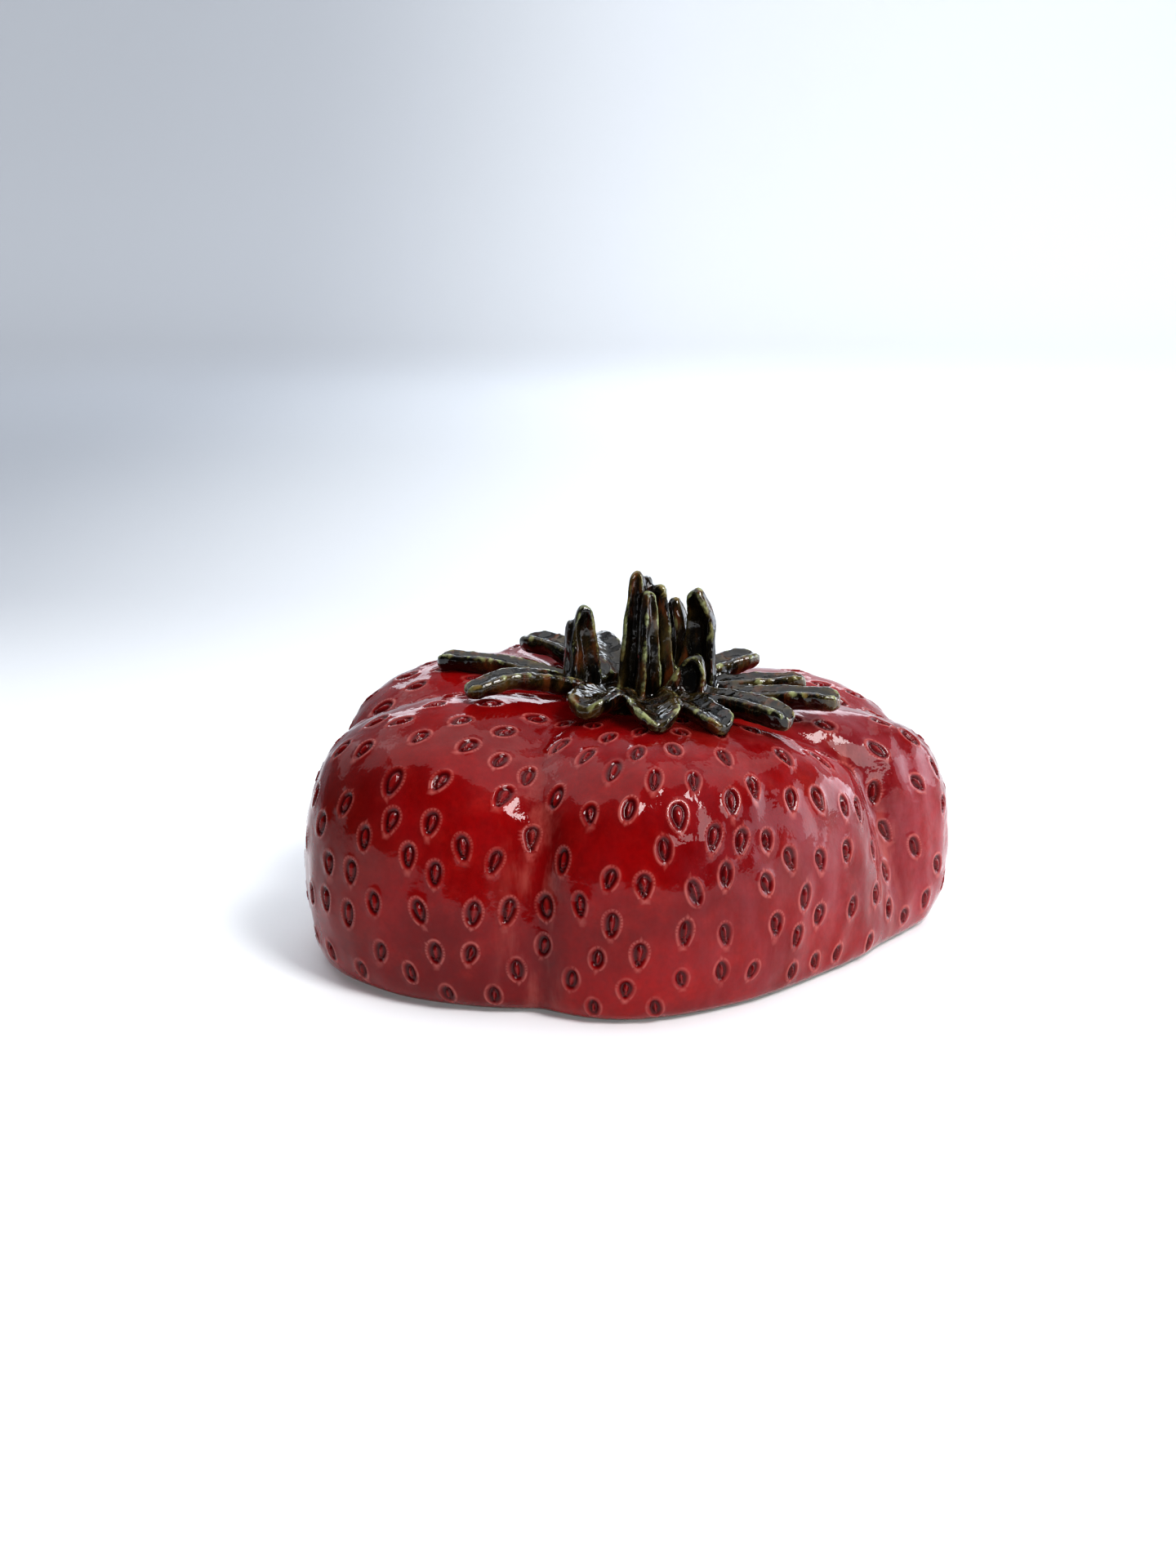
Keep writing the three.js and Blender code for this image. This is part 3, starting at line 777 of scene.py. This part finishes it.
def plain_paper():
    """White paper, painted dimmer at the back on the left. The backdrop glows, most on the right.
    Beyond the object at the front the paper glows pale to the camera, but the glaze sees it dark, as in
    a dim room."""
    s = Shader("plain_paper", Roughness=0.7, Emission_Color=srgb(238, 245, 255))
    place = s.node("SeparateXYZ", Vector=s.place).outputs
    x, y = place["X"], place["Y"]
    # Painted shade: the paper is darker at the back on the left.
    dimmer = s.math("MULTIPLY", s.ramp(x, 0.1, -0.45), s.ramp(y, 0.05, 0.45))
    colour = s.mix(dimmer, srgb(247, 249, 251), srgb(178, 181, 187))
    seen = s.tree.nodes.new("ShaderNodeLightPath").outputs["Is Camera Ray"]
    unseen = s.math("SUBTRACT", 1.0, seen)
    in_front = s.math("MULTIPLY", s.ramp(y, -0.26, -0.42), unseen)
    colour = s.mix(in_front, colour, srgb(80, 80, 82))
    across = s.math("MULTIPLY_ADD", s.ramp(x, -0.7, 0.7), 0.19, 0.33)
    backdrop_glow = s.math("MULTIPLY", s.ramp(y, 0.8, 2.0), across)
    far_in_front = s.math("MULTIPLY", s.ramp(y, -0.3, -1.4), seen)
    glow = s.math("MULTIPLY_ADD", far_in_front, 0.55, backdrop_glow)
    return s.finish(Base_Color=colour, Emission_Strength=glow)


def sweep():
    """A pale floor that curves up into a backdrop."""
    half_width, front, back, bend, top = 3.0, -2.2, 1.5, 0.8, 3.2
    turns = np.linspace(0, math.pi / 2, 13)
    profile = [(front, 0.0)]
    profile += [(back + bend * math.sin(t), bend * (1 - math.cos(t))) for t in turns]
    profile.append((back + bend, top))
    points = [(x, y, z) for y, z in profile for x in (-half_width, half_width)]
    faces = [(2 * k, 2 * k + 1, 2 * k + 3, 2 * k + 2) for k in range(len(profile) - 1)]
    mesh = bpy.data.meshes.new("floor")
    mesh.from_pydata(points, [], faces)
    mesh.shade_smooth()
    mesh.materials.append(plain_paper())
    floor = bpy.data.objects.new("floor", mesh)
    bpy.context.scene.collection.objects.link(floor)
    return floor


def soft_light(
    name, target, azimuth, elevation, distance, size, watts, colour=(1, 1, 1), shadow=True, diffuse=True
):
    """A rectangular softbox that faces target. azimuth is degrees round from the front. Without
    diffuse it is a card that only shows in the glaze."""
    a, e = math.radians(azimuth), math.radians(elevation)
    away = Vector((math.sin(a) * math.cos(e), -math.cos(a) * math.cos(e), math.sin(e)))
    lamp = bpy.data.lights.new(name, "AREA")
    lamp.shape = "RECTANGLE"
    lamp.size, lamp.size_y = size
    lamp.energy = watts
    lamp.color = colour
    lamp.use_shadow = shadow
    holder = bpy.data.objects.new(name, lamp)
    holder.location = target + away * distance
    holder.rotation_euler = away.to_track_quat("Z", "Y").to_euler()
    holder.visible_diffuse = diffuse
    bpy.context.scene.collection.objects.link(holder)


def studio_world():
    """Soft light from above and behind, fading to a dim room in front, and pale where it shows."""
    made = bpy.data.worlds.new("studio")
    made.use_nodes = True
    tree = made.node_tree
    background = tree.nodes["Background"]
    direction = tree.nodes.new("ShaderNodeSeparateXYZ")
    tree.links.new(tree.nodes.new("ShaderNodeTexCoord").outputs["Generated"], direction.inputs[0])
    lean = tree.nodes.new("ShaderNodeMath")
    lean.operation = "ADD"
    tree.links.new(direction.outputs["Y"], lean.inputs[0])
    tree.links.new(direction.outputs["Z"], lean.inputs[1])
    fade = tree.nodes.new("ShaderNodeMapRange")
    fade.interpolation_type = "SMOOTHSTEP"
    tree.links.new(lean.outputs[0], fade.inputs["Value"])
    for name, number in (("From Min", 0.0), ("From Max", 1.2), ("To Min", 0.05), ("To Max", 0.33)):
        fade.inputs[name].default_value = number
    seen = tree.nodes.new("ShaderNodeMath")
    seen.operation = "MAXIMUM"
    tree.links.new(tree.nodes.new("ShaderNodeLightPath").outputs["Is Camera Ray"], seen.inputs[0])
    tree.links.new(fade.outputs[0], seen.inputs[1])
    tree.links.new(seen.outputs[0], background.inputs["Strength"])
    background.inputs["Color"].default_value = srgb(236, 241, 250)
    return made


VIEW_ELEVATION = 18.0  # degrees
VIEW_DISTANCE = 0.52
LENS = 45.0  # mm, on a frame 36 mm tall
AIM_LEFT, AIM_UP = 0.0126, 0.004  # how far the aim is off the strawberry's middle

middle = Vector((float(outer.axis[0]), float(outer.axis[1]), 0.035))
elevation = math.radians(VIEW_ELEVATION)
back = Vector((0, -math.cos(elevation), math.sin(elevation)))
upward = Vector((0, math.sin(elevation), math.cos(elevation)))
aim = middle + Vector((-AIM_LEFT, 0, 0)) + upward * AIM_UP
lens = bpy.data.cameras.new("camera")
lens.sensor_fit = "VERTICAL"
lens.sensor_height = 36
lens.lens = LENS
lens.clip_start = 0.01
camera = bpy.data.objects.new("camera", lens)
camera.location = middle + back * VIEW_DISTANCE
camera.rotation_euler = (camera.location - aim).to_track_quat("Z", "Y").to_euler()
bpy.context.scene.collection.objects.link(camera)
bpy.context.scene.camera = camera

sweep()
# Each light: name, target, azimuth and elevation (degrees), distance and size (m), watts, colour.
soft_light("upper pane", middle, 43, 49, 1.3, (0.38, 0.46), 11)
soft_light("lower pane", middle, 43, 25, 1.3, (0.5, 0.6), 4.8, shadow=False)
soft_light("overhead", middle, 180, 80, 1.1, (1.7, 0.9), 5.2, (0.96, 0.98, 1))
soft_light("right", middle, 108, 13, 1.4, (1.1, 0.9), 6.8, (0.86, 0.92, 1), shadow=False)
soft_light("left", middle, -120, 35, 1.5, (1.0, 0.8), 1.8, (0.95, 0.97, 1))
soft_light("glint", middle, 180, 23, 1.5, (1.3, 0.35), 3.8, (0.85, 0.92, 1))
soft_light("card", middle, 100, 5, 1.4, (1.6, 0.8), 10, (0.8, 0.88, 1), shadow=False, diffuse=False)
bpy.context.scene.world = studio_world()
bpy.context.scene.view_settings.view_transform = "Standard"
bpy.context.scene.view_settings.look = "Medium High Contrast"
